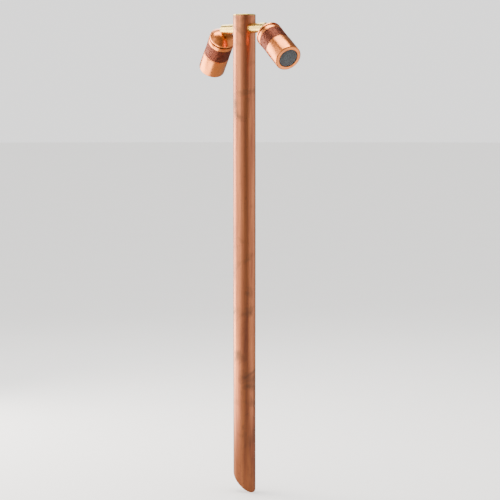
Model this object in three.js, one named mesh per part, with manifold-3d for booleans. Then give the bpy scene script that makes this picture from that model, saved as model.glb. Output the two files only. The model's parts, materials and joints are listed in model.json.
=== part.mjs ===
// Twin garden pole spotlight: a copper tube pole with a slant-cut foot, a brass cap, and two
// brass arms near the top that each carry a tilting copper spotlight for a 12 V MR16 lamp.
// Millimetres, +Z up. Origin: on the pole's axis, level with the lowest point of the foot.
import * as THREE from "three";
import { mergeVertices } from "three/addons/utils/BufferGeometryUtils.js";
import Module from "manifold-3d";

const wasm = await Module();
wasm.setup();

// ---- Driving dimensions ----------------------------------------------------------------

const DEG = Math.PI / 180;
const GAP = 0.3; // clearance between pieces that fit together
const SEAT_GAP = 0.2; // the same where one seats on another, or a seal in its groove
const BORE_GAP = 0.4; // the same round a spigot or pin in its bore
const SEAL_GAP = 0.1; // the same between a seal's lip and what it seals against
const OVERCUT = 1; // how far a hole's cutter reaches past the metal

// Flats round a piece's outline.
const HOLE_SIDES = 16;
const SCREW_SIDES = 18;
const WASHER_SIDES = 20;

const POLE = {
  height: 1088, // lowest point of the foot to the top of the cap
  radius: 25.4, // 2 inch tube
  wall: 1.6,
  footSlope: 45 * DEG, // of the slant cut, from horizontal
  footAzimuth: -43 * DEG, // the way the lowest point faces, from +X
  sides: 36,
};
const CAP = {
  thickness: 3.4,
  edge: 0.6,
  spigotDepth: 10,
  spigotWall: 3.2,
  groove: 2.4,
  grooveDepth: 1.6,
};
const CAP_SEAL = { thickness: 1.6, width: 2 };
const BUNG = { low: 58, high: 70, cableRadius: 4.5, sides: 32 };
const HUB = { height: 36, wireRadius: 5, screwRise: 11 };
const HUB_SCREW = { shank: 2.1, length: 15, seat: 0.15, head: 4.2, headTop: 2.8, headDepth: 2.4 };
const LOCK_SCREW = { radius: 2.5, offset: 12, length: 8, grooveWidth: 6, grooveDepth: 2 };

const ARM = {
  drop: 32.5, // axis below the top of the cap
  radius: 11,
  azimuth: -50 * DEG, // of the right arm, from +X; the left one is opposite
  shoulder: 17.3, // distances along the arm are from the pole's axis
  spigotRadius: 7,
  spigotEnd: 5,
  pivot: 67,
  end: 75,
  chamfer: 1.5,
  slotStart: 56,
  slotWidth: 9.4,
  wireRadius: 3.2,
  sides: 20,
};
const ARM_SEAL = { offset: 0.7, groove: 2.2, depth: 1.6 };
const LUG = { thickness: 7.4, radius: 8, screwHole: 2.8, leadRadius: 1.6, leadOffset: 5 };
const PIVOT_SCREW = {
  radius: 2.5,
  head: 4.2,
  headLow: 6.2,
  headHigh: 9.9,
  headEdge: 0.5,
  tip: -8.6,
  socket: 1.8,
  socketDepth: 2,
};
const WASHER = { inner: 2.8, outer: 7, thickness: 0.7 };

// Distances along a head's axis are from its seal groove, forwards.
const HEAD = {
  radius: 30,
  sides: 24,
  pivot: -32.5,
  lugFoot: -16.9,
  domeTip: -19.4,
  domeRadius: 38,
  domeEdge: 26.4,
  domeWall: 4,
  shoulderRadius: 28.8,
  shoulderLow: -7,
  shoulderHigh: -5,
  sealHalf: 1.8,
  spigotRadius: 21.6,
  spigotEnd: 9.5,
  spigotBore: 18,
};
const BODY_SEAL = { outer: 27.4, edge: 0.6, half: 1.6 };
const BODY = {
  bore: 22,
  bandEnd: 12,
  bandEdge: 0.4,
  finRadius: 29.6,
  grooveRadius: 26.6,
  grooves: 9,
  groovePitch: 3.9,
  grooveWidth: 1.9,
  grooveSlant: 0.3,
  end: 47.6,
  threadRadius: 26.6,
  threadEnd: 59,
};
const COWL = {
  start: 47.9,
  reliefEnd: 60.5,
  reliefRadius: 27,
  bore: 26.2,
  flangeLow: 86.8,
  flangeHigh: 90,
  flangeInner: 19.8,
  front: 95,
  edgeRadius: 2,
  aperture: 22,
  apertureEdge: 0.5,
};
const LENS = { radius: 21.3, low: 91, high: 94.2 };
const LENS_SEAL = { outer: 21.85, wall: 21.45, inner: 20, low: 90.15, step: 90.85, high: 94 };
const LAMP = {
  front: 86.2,
  rimRadius: 25.2,
  rimStep: 1,
  rimDepth: 2.6,
  neckRadius: 8.6,
  neck: 54.4,
  glass: 1.4,
  neckHole: 5.4,
  capsuleRadius: 4.4,
  capsuleEnd: 70.4,
  baseRadius: 8,
  baseLow: 46.6,
  pinRadius: 0.8,
  pinSpread: 2.65,
  pinLength: 7,
  sides: 20,
  capsuleSides: 14,
  pinSides: 8,
};
const HOLDER = { radius: 10, low: 32.9, high: 46.3, socketSpare: 1 };

// Each side: the way its arm points, how far the arm is swivelled and the head tilted down,
// and the cheek that the pivot screw's head is on.
const SIDES = [
  { name: "right", heading: ARM.azimuth, swivel: -14.5 * DEG, tilt: 35 * DEG, screwCheek: 1 },
  { name: "left", heading: ARM.azimuth + Math.PI, swivel: -19.5 * DEG, tilt: 46 * DEG, screwCheek: -1 },
];

// ---- Materials -------------------------------------------------------------------------

function material(color, roughness, metalness) {
  return new THREE.MeshStandardMaterial({ color, roughness, metalness });
}

const COPPER_TUBE = material("#b5735a", 0.45, 1);
const COPPER_TURNED = material("#c98467", 0.3, 1);
const BRASS = material("#d9bd7a", 0.3, 1);
const STEEL = material("#b9bcc0", 0.35, 1);
const RUBBER = material("#1b1b1c", 0.8, 0);
const GLASS = material("#4b5558", 0.05, 0);
const REFLECTOR = material("#a9adb0", 0.15, 1);
const CERAMIC = material("#e8e4da", 0.6, 0);

// ---- Solids ----------------------------------------------------------------------------

// A closed geometry as a manifold-3d solid.
function solid(geometry) {
  const bare = geometry.index ? geometry.toNonIndexed() : geometry.clone();
  bare.deleteAttribute("normal");
  bare.deleteAttribute("uv");
  const merged = mergeVertices(bare, 1e-4);
  const triVerts = new Uint32Array(merged.index.array);
  const vertProperties = merged.getAttribute("position").array;
  return new wasm.Manifold(new wasm.Mesh({ numProp: 3, vertProperties, triVerts }));
}

// A manifold-3d solid as a three.js geometry with flat faces.
function geometryOf(body) {
  const { vertProperties, triVerts } = body.getMesh();
  const indexed = new THREE.BufferGeometry();
  indexed.setAttribute("position", new THREE.BufferAttribute(vertProperties, 3));
  indexed.setIndex(new THREE.BufferAttribute(triVerts, 1));
  const flat = indexed.toNonIndexed();
  flat.computeVertexNormals();
  return flat;
}

function cut(base, ...tools) {
  const body = tools.reduce((left, tool) => left.subtract(solid(tool)), solid(base));
  return geometryOf(body);
}

function join(...pieces) {
  const body = pieces.map(solid).reduce((left, right) => left.add(right));
  return geometryOf(body);
}

// A profile of [radius, height] points turned about +Z. It starts and ends on the axis, or
// is closed here on itself.
function turned(profile, sides) {
  const outline = profile.map(([radius, height]) => new THREE.Vector2(radius, height));
  const first = outline[0];
  const last = outline[outline.length - 1];
  if (first.x > 0 || last.x > 0) outline.push(first.clone());
  const area = THREE.ShapeUtils.area(outline);
  if (area < 0) outline.reverse();
  return new THREE.LatheGeometry(outline, sides).rotateX(Math.PI / 2);
}

// The same about +X, as the arms and heads lie.
function turnedAlongX(profile, sides) {
  return turned(profile, sides).rotateY(Math.PI / 2);
}

function rod(radius, low, high, sides = HOLE_SIDES) {
  return turned([[0, low], [radius, low], [radius, high], [0, high]], sides);
}

function ring(inner, outer, low, high, sides) {
  return turned([[inner, low], [outer, low], [outer, high], [inner, high]], sides);
}

// Points of an arc about (radius, height) = (cx, cy), angles in degrees.
function arc(cx, cy, radius, from, to, steps) {
  const points = [];
  for (let i = 0; i <= steps; i += 1) {
    const angle = (from + ((to - from) * i) / steps) * DEG;
    points.push([cx + radius * Math.cos(angle), cy + radius * Math.sin(angle)]);
  }
  return points;
}

function named(name, geometry, finish) {
  const mesh = new THREE.Mesh(geometry, finish);
  mesh.name = name;
  return mesh;
}

// ---- Pole ------------------------------------------------------------------------------

const armHeight = POLE.height - ARM.drop;
const tubeBore = POLE.radius - POLE.wall;
const tubeTop = POLE.height - CAP.thickness - SEAT_GAP;
const hubRadius = tubeBore - BORE_GAP;
const screwHeights = { upper: armHeight + HUB.screwRise, lower: armHeight - HUB.screwRise };
// The lock screws hold the arms in by this groove, and let them swivel.
const lockGroove = {
  low: LOCK_SCREW.offset - LOCK_SCREW.grooveWidth / 2,
  high: LOCK_SCREW.offset + LOCK_SCREW.grooveWidth / 2,
  radius: ARM.spigotRadius - LOCK_SCREW.grooveDepth,
};

// The hub screws enter from behind, square to the arms.
function behind(geometry, height) {
  return geometry
    .rotateX(-Math.PI / 2)
    .rotateZ(ARM.azimuth)
    .translate(0, 0, height);
}

function alongArms(geometry) {
  return geometry.rotateZ(ARM.azimuth).translate(0, 0, armHeight);
}

function poleTube() {
  const slope = POLE.footSlope;
  const reach = 3 * POLE.radius;
  const ground = new THREE.BoxGeometry(2 * reach, 2 * reach, 2 * reach)
    .translate(0, 0, -reach)
    .rotateY(slope)
    .translate(POLE.radius, 0, 0)
    .rotateZ(POLE.footAzimuth);
  const tube = ring(tubeBore, POLE.radius, -OVERCUT, tubeTop, POLE.sides).rotateZ(POLE.footAzimuth);
  const armHoles = alongArms(
    rod(ARM.radius + GAP, -2 * POLE.radius, 2 * POLE.radius, ARM.sides).rotateY(Math.PI / 2),
  );
  const screwHoles = Object.values(screwHeights).map((height) =>
    behind(rod(HUB_SCREW.shank + GAP, tubeBore - OVERCUT, POLE.radius + OVERCUT), height),
  );
  return cut(tube, ground, armHoles, ...screwHoles);
}

function topCap() {
  const under = POLE.height - CAP.thickness;
  const outer = tubeBore - GAP;
  const inner = outer - CAP.spigotWall;
  const grooveMid = under - CAP.spigotDepth / 2;
  const grooveLow = grooveMid - CAP.groove / 2;
  const grooveHigh = grooveMid + CAP.groove / 2;
  return turned(
    [
      [0, POLE.height],
      [POLE.radius - CAP.edge, POLE.height],
      [POLE.radius, POLE.height - CAP.edge],
      [POLE.radius, under],
      [outer, under],
      [outer, grooveHigh],
      [outer - CAP.grooveDepth, grooveHigh],
      [outer - CAP.grooveDepth, grooveLow],
      [outer, grooveLow],
      [outer, under - CAP.spigotDepth],
      [inner, under - CAP.spigotDepth],
      [inner, under],
      [0, under],
    ],
    POLE.sides,
  );
}

function capSeal() {
  const mid = POLE.height - CAP.thickness - CAP.spigotDepth / 2;
  const outer = tubeBore - SEAL_GAP;
  const half = CAP_SEAL.width / 2;
  return ring(outer - CAP_SEAL.thickness, outer, mid - half, mid + half, POLE.sides);
}

// Brass block inside the tube: both arms plug into its cross bore, and the supply comes up
// its centre.
function armHub() {
  const half = HUB.height / 2;
  const block = rod(hubRadius, armHeight - half, armHeight + half, POLE.sides);
  const crossBore = alongArms(
    rod(ARM.spigotRadius + BORE_GAP, -2 * hubRadius, 2 * hubRadius, ARM.sides).rotateY(Math.PI / 2),
  );
  const seats = SIDES.map(({ heading }) =>
    rod(ARM.radius + BORE_GAP, ARM.shoulder - GAP, 2 * hubRadius, ARM.sides)
      .rotateY(Math.PI / 2)
      .rotateZ(heading)
      .translate(0, 0, armHeight),
  );
  const lockHoles = SIDES.map(({ heading }) =>
    rod(LOCK_SCREW.radius + GAP, armHeight, armHeight + half + OVERCUT)
      .translate(LOCK_SCREW.offset, 0, 0)
      .rotateZ(heading),
  );
  const wireWay = rod(HUB.wireRadius, armHeight - half - OVERCUT, armHeight);
  const screwHoles = Object.values(screwHeights).map((height) =>
    behind(rod(HUB_SCREW.shank + GAP, hubRadius - HUB_SCREW.length, hubRadius + OVERCUT), height),
  );
  return cut(block, crossBore, ...seats, ...lockHoles, wireWay, ...screwHoles);
}

function hubScrew(height) {
  const seat = POLE.radius + HUB_SCREW.seat;
  const profile = [
    [0, seat - HUB_SCREW.length],
    [HUB_SCREW.shank, seat - HUB_SCREW.length],
    [HUB_SCREW.shank, seat],
    [HUB_SCREW.head, seat],
    [HUB_SCREW.head, seat + HUB_SCREW.headDepth / 2],
    [HUB_SCREW.headTop, seat + HUB_SCREW.headDepth],
    [0, seat + HUB_SCREW.headDepth],
  ];
  return behind(turned(profile, HOLE_SIDES), height);
}

function lockScrew(heading) {
  const low = armHeight + lockGroove.radius + GAP;
  return rod(LOCK_SCREW.radius, low, low + LOCK_SCREW.length)
    .translate(LOCK_SCREW.offset, 0, 0)
    .rotateZ(heading);
}

function cableBung() {
  const outer = tubeBore - GAP;
  return ring(BUNG.cableRadius, outer, BUNG.low, BUNG.high, BUNG.sides);
}

// ---- Arms, along +X from the pole's axis -----------------------------------------------

const armSeal = {
  low: ARM.shoulder + ARM_SEAL.offset,
  high: ARM.shoulder + ARM_SEAL.offset + ARM_SEAL.groove,
  radius: ARM.radius - ARM_SEAL.depth,
};

function arm(screwCheek) {
  const bar = turnedAlongX(
    [
      [0, ARM.spigotEnd],
      [ARM.spigotRadius, ARM.spigotEnd],
      [ARM.spigotRadius, lockGroove.low],
      [lockGroove.radius, lockGroove.low],
      [lockGroove.radius, lockGroove.high],
      [ARM.spigotRadius, lockGroove.high],
      [ARM.spigotRadius, ARM.shoulder],
      [ARM.radius, ARM.shoulder],
      [ARM.radius, armSeal.low],
      [armSeal.radius, armSeal.low],
      [armSeal.radius, armSeal.high],
      [ARM.radius, armSeal.high],
      [ARM.radius, ARM.end - ARM.chamfer],
      [ARM.radius - ARM.chamfer, ARM.end],
      [0, ARM.end],
    ],
    ARM.sides,
  );
  const wireBore = rod(ARM.wireRadius, 0, ARM.slotStart + OVERCUT).rotateY(Math.PI / 2);
  // The slot is open below and at the arm's end, and closed above.
  const slotTop = LUG.radius + GAP;
  const slotDepth = slotTop + ARM.radius + OVERCUT;
  const slotLength = ARM.end - ARM.slotStart + OVERCUT;
  const slot = new THREE.BoxGeometry(slotLength, ARM.slotWidth, slotDepth).translate(
    ARM.slotStart + slotLength / 2,
    0,
    slotTop - slotDepth / 2,
  );
  const outside = ARM.radius + OVERCUT;
  const screwHole = rod(LUG.screwHole, PIVOT_SCREW.tip - GAP, outside);
  const counterbore = rod(PIVOT_SCREW.head + BORE_GAP, PIVOT_SCREW.headLow - GAP, outside);
  const crossHoles = [screwHole, counterbore].map((hole) =>
    hole.rotateX((-screwCheek * Math.PI) / 2).translate(ARM.pivot, 0, 0),
  );
  return cut(bar, wireBore, slot, ...crossHoles);
}

function armSealRing() {
  return ring(
    armSeal.radius + SEAT_GAP,
    ARM.radius + SEAL_GAP,
    armSeal.low + SEAT_GAP,
    armSeal.high - SEAT_GAP,
    ARM.sides,
  ).rotateY(Math.PI / 2);
}

// ---- Pivot: these pieces lie about the pivot's own axis, +Y -----------------------------

function pivotScrew(screwCheek) {
  const { radius, head, headLow, headHigh, headEdge, tip, socket, socketDepth } = PIVOT_SCREW;
  const profile = [
    [0, tip],
    [radius, tip],
    [radius, headLow],
    [head, headLow],
    [head, headHigh - headEdge],
    [head - headEdge, headHigh],
    [socket, headHigh],
    [socket, headHigh - socketDepth],
    [0, headHigh - socketDepth],
  ];
  return turned(profile, SCREW_SIDES).rotateX((-screwCheek * Math.PI) / 2);
}

function pivotWasher(cheek) {
  const middle = (LUG.thickness + ARM.slotWidth) / 4;
  const half = WASHER.thickness / 2;
  const washer = ring(WASHER.inner, WASHER.outer, middle - half, middle + half, WASHER_SIDES);
  return washer.rotateX((-cheek * Math.PI) / 2);
}

// ---- Head, along +X from its seal groove -----------------------------------------------

// Half of a spherical dome's outline, from the tip to where it meets the straight side.
function domeArc(tip, radius, edge, steps) {
  const points = [];
  const sweep = Math.asin(edge / radius);
  for (let i = 0; i <= steps; i += 1) {
    const angle = (sweep * i) / steps;
    points.push([radius * Math.sin(angle), tip + radius * (1 - Math.cos(angle))]);
  }
  return points;
}

function rearCap() {
  const { radius, domeTip, domeRadius, sealHalf, lugFoot } = HEAD;
  const innerTip = domeTip + HEAD.domeWall;
  const inside = domeArc(innerTip, domeRadius, HEAD.spigotBore, 3).reverse();
  const shell = turnedAlongX(
    [
      ...domeArc(domeTip, domeRadius, HEAD.domeEdge, 6),
      [HEAD.shoulderRadius, HEAD.shoulderLow],
      [radius, HEAD.shoulderHigh],
      [radius, -sealHalf],
      [HEAD.spigotRadius, -sealHalf],
      [HEAD.spigotRadius, HEAD.spigotEnd],
      [HEAD.spigotBore, HEAD.spigotEnd],
      ...inside,
    ],
    HEAD.sides,
  );
  const outline = new THREE.Shape();
  outline.moveTo(lugFoot, -LUG.radius);
  outline.lineTo(lugFoot, LUG.radius);
  outline.lineTo(HEAD.pivot, LUG.radius);
  outline.absarc(HEAD.pivot, 0, LUG.radius, Math.PI / 2, (3 * Math.PI) / 2, false);
  const lug = new THREE.ExtrudeGeometry(outline, {
    depth: LUG.thickness,
    bevelEnabled: false,
    curveSegments: 8,
  })
    .translate(0, 0, -LUG.thickness / 2)
    .rotateX(Math.PI / 2);
  const screwHole = rod(LUG.screwHole, -LUG.thickness, LUG.thickness)
    .rotateX(Math.PI / 2)
    .translate(HEAD.pivot, 0, 0);
  const leadEnd = innerTip + 2 * OVERCUT;
  const leadHole = rod(LUG.leadRadius, HEAD.pivot - LUG.radius, leadEnd, LAMP.pinSides)
    .rotateY(Math.PI / 2)
    .translate(0, 0, LUG.leadOffset);
  return cut(join(shell, lug), screwHole, leadHole);
}

function bodySeal() {
  const { outer, edge, half } = BODY_SEAL;
  const inner = HEAD.spigotRadius + SEAT_GAP;
  return turnedAlongX(
    [
      [inner, -half],
      [outer - edge, -half],
      [outer, edge - half],
      [outer, half - edge],
      [outer - edge, half],
      [inner, half],
    ],
    HEAD.sides,
  );
}

function finnedBody() {
  const profile = [
    [BODY.bore, HEAD.sealHalf],
    [HEAD.radius, HEAD.sealHalf],
    [HEAD.radius, BODY.bandEnd - BODY.bandEdge],
    [BODY.finRadius, BODY.bandEnd],
  ];
  for (let i = 0; i < BODY.grooves; i += 1) {
    const low = BODY.bandEnd + i * BODY.groovePitch;
    const high = low + BODY.grooveWidth;
    if (i > 0) profile.push([BODY.finRadius, low]);
    profile.push(
      [BODY.grooveRadius, low + BODY.grooveSlant],
      [BODY.grooveRadius, high - BODY.grooveSlant],
      [BODY.finRadius, high],
    );
  }
  profile.push(
    [BODY.finRadius, BODY.end],
    [BODY.threadRadius, BODY.end],
    [BODY.threadRadius, BODY.threadEnd],
    [BODY.bore, BODY.threadEnd],
  );
  return turnedAlongX(profile, HEAD.sides);
}

function frontCowl() {
  const { front, edgeRadius, aperture, apertureEdge } = COWL;
  return turnedAlongX(
    [
      [COWL.reliefRadius, COWL.start],
      [HEAD.radius, COWL.start],
      ...arc(HEAD.radius - edgeRadius, front - edgeRadius, edgeRadius, 0, 90, 3),
      [aperture + apertureEdge, front],
      [aperture, front - apertureEdge],
      [aperture, COWL.flangeHigh],
      [COWL.flangeInner, COWL.flangeHigh],
      [COWL.flangeInner, COWL.flangeLow],
      [COWL.bore, COWL.flangeLow],
      [COWL.bore, COWL.reliefEnd],
      [COWL.reliefRadius, COWL.reliefEnd],
    ],
    HEAD.sides,
  );
}

function lens() {
  return rod(LENS.radius, LENS.low, LENS.high, HEAD.sides).rotateY(Math.PI / 2);
}

// The lens is bonded into the bezel from the front: the seal lies under it and around it.
function lensSeal() {
  const { outer, wall, inner, low, step, high } = LENS_SEAL;
  return turnedAlongX(
    [[inner, low], [outer, low], [outer, high], [wall, high], [wall, step], [inner, step]],
    HEAD.sides,
  );
}

// Glass cup: a parabola from the neck to the rim, with the same wall all over.
function lampReflector() {
  const steps = 4;
  const cupEnd = LAMP.front - LAMP.rimDepth;
  const cupRadius = LAMP.rimRadius - LAMP.rimStep;
  const outside = [];
  const inside = [];
  for (let i = 0; i <= steps; i += 1) {
    const t = i / steps;
    const radius = LAMP.neckRadius + (cupRadius - LAMP.neckRadius) * t;
    const height = LAMP.neck + (cupEnd - LAMP.neck) * t * t;
    outside.push([radius, height]);
    inside.push([radius - LAMP.glass, height + LAMP.glass]);
  }
  return turnedAlongX(
    [
      [LAMP.neckHole, LAMP.neck],
      ...outside,
      [LAMP.rimRadius, cupEnd],
      [LAMP.rimRadius, LAMP.front],
      [cupRadius - LAMP.glass, LAMP.front],
      ...inside.reverse(),
      [LAMP.neckHole, LAMP.neck + LAMP.glass],
    ],
    LAMP.sides,
  );
}

function lampCapsule() {
  const { capsuleRadius, capsuleEnd, neck } = LAMP;
  const seat = neck + SEAT_GAP;
  const roundEnd = arc(0, capsuleEnd - capsuleRadius, capsuleRadius, 0, 90, 4);
  return turnedAlongX([[0, seat], [capsuleRadius, seat], ...roundEnd], LAMP.capsuleSides);
}

function lampPin(offset, radius, low) {
  return rod(radius, low, LAMP.baseLow + OVERCUT, LAMP.pinSides)
    .rotateY(Math.PI / 2)
    .translate(0, offset, 0);
}

function lampBase() {
  const { baseRadius, baseLow, neck, sides } = LAMP;
  const block = rod(baseRadius, baseLow, neck - SEAT_GAP, sides).rotateY(Math.PI / 2);
  const tip = baseLow - LAMP.pinLength;
  const pins = [-1, 1].map((side) => lampPin(side * LAMP.pinSpread, LAMP.pinRadius, tip));
  return join(block, ...pins);
}

function lampHolder() {
  const block = rod(HOLDER.radius, HOLDER.low, HOLDER.high, LAMP.sides).rotateY(Math.PI / 2);
  const depth = LAMP.baseLow - LAMP.pinLength - HOLDER.socketSpare;
  const socketRadius = LAMP.pinRadius + BORE_GAP;
  const sockets = [-1, 1].map((side) => lampPin(side * LAMP.pinSpread, socketRadius, depth));
  return cut(block, ...sockets);
}

// ---- Assembly --------------------------------------------------------------------------

function head(side) {
  const group = new THREE.Group();
  group.position.set(-HEAD.pivot, 0, 0);
  group.add(
    named(`${side}_rear_cap`, rearCap(), COPPER_TURNED),
    named(`${side}_body_seal`, bodySeal(), RUBBER),
    named(`${side}_finned_body`, finnedBody(), COPPER_TURNED),
    named(`${side}_front_cowl`, frontCowl(), COPPER_TURNED),
    named(`${side}_lens`, lens(), GLASS),
    named(`${side}_lens_seal`, lensSeal(), RUBBER),
    named(`${side}_lamp_reflector`, lampReflector(), REFLECTOR),
    named(`${side}_lamp_capsule`, lampCapsule(), GLASS),
    named(`${side}_lamp_base`, lampBase(), CERAMIC),
    named(`${side}_lamp_holder`, lampHolder(), CERAMIC),
  );
  return group;
}

function spotlight({ name, heading, swivel, tilt, screwCheek }) {
  const swivelled = new THREE.Group();
  swivelled.position.z = armHeight;
  swivelled.rotation.set(swivel, 0, heading, "ZYX");
  const atPivot = new THREE.Group();
  atPivot.position.x = ARM.pivot;
  const tilted = new THREE.Group();
  tilted.rotation.y = tilt;
  tilted.add(head(name));
  atPivot.add(
    tilted,
    named(`${name}_pivot_screw`, pivotScrew(screwCheek), STEEL),
    named(`${name}_pivot_washer_near`, pivotWasher(screwCheek), STEEL),
    named(`${name}_pivot_washer_far`, pivotWasher(-screwCheek), STEEL),
  );
  swivelled.add(
    named(`${name}_arm`, arm(screwCheek), BRASS),
    named(`${name}_arm_seal`, armSealRing(), RUBBER),
    atPivot,
  );
  return swivelled;
}

const twinPoleSpotlight = new THREE.Group();
twinPoleSpotlight.add(
  named("pole_tube", poleTube(), COPPER_TUBE),
  named("top_cap", topCap(), BRASS),
  named("cap_seal", capSeal(), RUBBER),
  named("arm_hub", armHub(), BRASS),
  named("cable_bung", cableBung(), RUBBER),
);
for (const [name, height] of Object.entries(screwHeights)) {
  twinPoleSpotlight.add(named(`hub_screw_${name}`, hubScrew(height), STEEL));
}
for (const side of SIDES) {
  twinPoleSpotlight.add(
    named(`${side.name}_lock_screw`, lockScrew(side.heading), STEEL),
    spotlight(side),
  );
}

export default twinPoleSpotlight;
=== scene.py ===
"""Looks of a twin garden pole spotlight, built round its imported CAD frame.

The frame gives every place: the pole's axis, the arms' axes, the pivots and the heads' axes.
Outlines are written in millimetres, as a turner would, and placed in metres.
"""

import json
import math

import bmesh
import bpy
from bpy.props import FloatProperty, FloatVectorProperty, IntProperty, PointerProperty
from mathutils import Matrix, Vector


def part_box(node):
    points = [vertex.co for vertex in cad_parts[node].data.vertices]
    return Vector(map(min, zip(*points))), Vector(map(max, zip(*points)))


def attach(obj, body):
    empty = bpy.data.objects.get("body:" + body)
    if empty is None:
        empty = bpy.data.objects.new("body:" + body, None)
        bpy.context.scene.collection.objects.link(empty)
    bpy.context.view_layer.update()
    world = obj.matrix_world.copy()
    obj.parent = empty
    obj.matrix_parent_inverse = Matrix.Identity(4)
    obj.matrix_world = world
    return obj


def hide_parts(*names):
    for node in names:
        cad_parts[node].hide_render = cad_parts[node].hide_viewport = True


bl_info = {
    "name": "Twin pole spotlight",
    "version": (1, 0, 0),
    "blender": (4, 5, 0),
    "location": "3D View > Sidebar > Pole light",
    "description": "Builds the visible pieces of a copper and brass garden pole light",
    "category": "Object",
}

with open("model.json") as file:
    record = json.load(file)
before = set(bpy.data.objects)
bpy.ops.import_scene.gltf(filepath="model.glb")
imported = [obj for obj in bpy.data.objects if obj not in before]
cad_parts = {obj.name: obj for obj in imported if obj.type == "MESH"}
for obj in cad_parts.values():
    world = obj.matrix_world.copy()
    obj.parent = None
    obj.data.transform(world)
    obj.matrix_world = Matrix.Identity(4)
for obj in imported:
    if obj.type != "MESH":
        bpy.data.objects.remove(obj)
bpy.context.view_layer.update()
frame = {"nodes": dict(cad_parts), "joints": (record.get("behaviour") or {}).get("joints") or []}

MM = 0.001
TURN = 2 * math.pi
SIDES = ("right", "left")
HUB_SCREWS = ("hub_screw_upper", "hub_screw_lower")
# Nearer the axis than this, in mm, a ring is one point. Nearer than this, in metres, two points are one.
ON_AXIS = 1e-6
WELD = 0.00001


def linear(hex_colour):
    """The linear RGB of an sRGB hex colour."""
    parts = [int(hex_colour[i : i + 2], 16) / 255 for i in (1, 3, 5)]
    return tuple(c / 12.92 if c <= 0.04045 else ((c + 0.055) / 1.055) ** 2.4 for c in parts)


# ---- Places, from the frame -------------------------------------------------------------


def joint(name):
    return next(j for j in frame["joints"] if j["name"] == name)


def middle(node):
    low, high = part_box(node)
    return (low + high) / 2


def place(origin, axis, across=None):
    """The matrix that takes local +Z to axis and local +X towards across, at origin."""
    z = Vector(axis).normalized()
    x = Vector(across) if across is not None else z.orthogonal()
    x = (x - x.dot(z) * z).normalized()
    turn = Matrix((x, z.cross(x), z)).transposed().to_4x4()
    return Matrix.Translation(Vector(origin)) @ turn


UP = Matrix.Identity(4)
POLE_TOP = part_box("top_cap")[1].z
TUBE_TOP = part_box("pole_tube")[1].z
TUBE_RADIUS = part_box("top_cap")[1].x
FOOT_TIP = min((v.co for v in frame["nodes"]["pole_tube"].data.vertices), key=lambda co: co.z)


def arm_place(side):
    """Origin on the pole's axis, +Z out along the arm, +X the way the pivot screw runs."""
    swivel = joint(f"{side}_arm_swivel")
    return place(swivel["pos_m"], swivel["axis"], joint(f"{side}_head_tilt")["axis"])


def pivot_place(side):
    """Origin at the pivot, +Z along the pivot screw towards its head."""
    tilt = joint(f"{side}_head_tilt")
    centre = Vector(tilt["pos_m"])
    towards_head = (middle(f"{side}_pivot_screw") - centre).dot(Vector(tilt["axis"]))
    sense = 1 if towards_head > 0 else -1
    return place(centre, Vector(tilt["axis"]) * sense, joint(f"{side}_arm_swivel")["axis"])


def head_place(side):
    """Origin at the seal groove, +Z forwards along the head, +X along the pivot."""
    groove = middle(f"{side}_body_seal")
    return place(groove, middle(f"{side}_lens") - groove, joint(f"{side}_head_tilt")["axis"])


# ---- Meshes -----------------------------------------------------------------------------


def rounded(corners, steps=4):
    """A turned outline from corners (radius, height, edge radius), edges rounded by arcs."""
    outline = []
    for i, (r, h, edge) in enumerate(corners):
        here = Vector((r, h))
        if edge <= 0:
            outline.append((r, h))
            continue
        back = (Vector(corners[i - 1][:2]) - here).normalized()
        on = (Vector(corners[(i + 1) % len(corners)][:2]) - here).normalized()
        half = back.angle(on) / 2
        centre = here + (back + on).normalized() * (edge / math.sin(half))
        start = here + back * (edge / math.tan(half)) - centre
        end = here + on * (edge / math.tan(half)) - centre
        sweep = start.angle_signed(end)
        for k in range(steps + 1):
            spoke = Matrix.Rotation(-sweep * k / steps, 2) @ start
            outline.append(tuple(centre + spoke))
    return outline


def dome(tip, sphere, edge, steps):
    """The outline of a spherical cap from its tip to radius edge."""
    sweep = math.asin(edge / sphere)
    angles = [sweep * i / steps for i in range(steps + 1)]
    return [(sphere * math.sin(a), tip + sphere * (1 - math.cos(a))) for a in angles]


def turned(outline, segments=128, open_ends=False):
    """A bmesh of an outline of (radius, height) in mm turned about +Z, in metres.

    The outline starts and ends on the axis, or closes on itself, or stays open.
    """
    bm = bmesh.new()
    uv = bm.loops.layers.uv.new("turning")
    rings = []
    run = [0.0]
    for i, (r, h) in enumerate(outline):
        if i:
            run.append(run[-1] + math.dist(outline[i - 1], outline[i]))
        if r < ON_AXIS:
            rings.append([bm.verts.new((0, 0, h * MM))])
            continue
        angles = [TURN * k / segments for k in range(segments)]
        spots = [(r * MM * math.cos(a), r * MM * math.sin(a)) for a in angles]
        rings.append([bm.verts.new((x, y, h * MM)) for x, y in spots])
    on_axis = len(rings[0]) == 1 and len(rings[-1]) == 1
    joins = len(rings) - 1 if on_axis or open_ends else len(rings)
    for i in range(joins):
        low, high = rings[i], rings[(i + 1) % len(rings)]
        v0 = run[i]
        v1 = run[i + 1] if i + 1 < len(run) else run[i] + math.dist(outline[i], outline[0])
        for k in range(segments):
            n = (k + 1) % segments
            corners = [
                (low[k % len(low)], k, v0), (low[n % len(low)], k + 1, v0),
                (high[n % len(high)], k + 1, v1), (high[k % len(high)], k, v1)]
            if len(low) == 1:
                corners.pop(1)
            elif len(high) == 1:
                corners.pop(2)
            face = bm.faces.new([c[0] for c in corners])
            for loop, (_, u, v) in zip(face.loops, corners):
                loop[uv].uv = (u / segments, v * MM)
    bmesh.ops.recalc_face_normals(bm, faces=bm.faces)
    return bm


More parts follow.
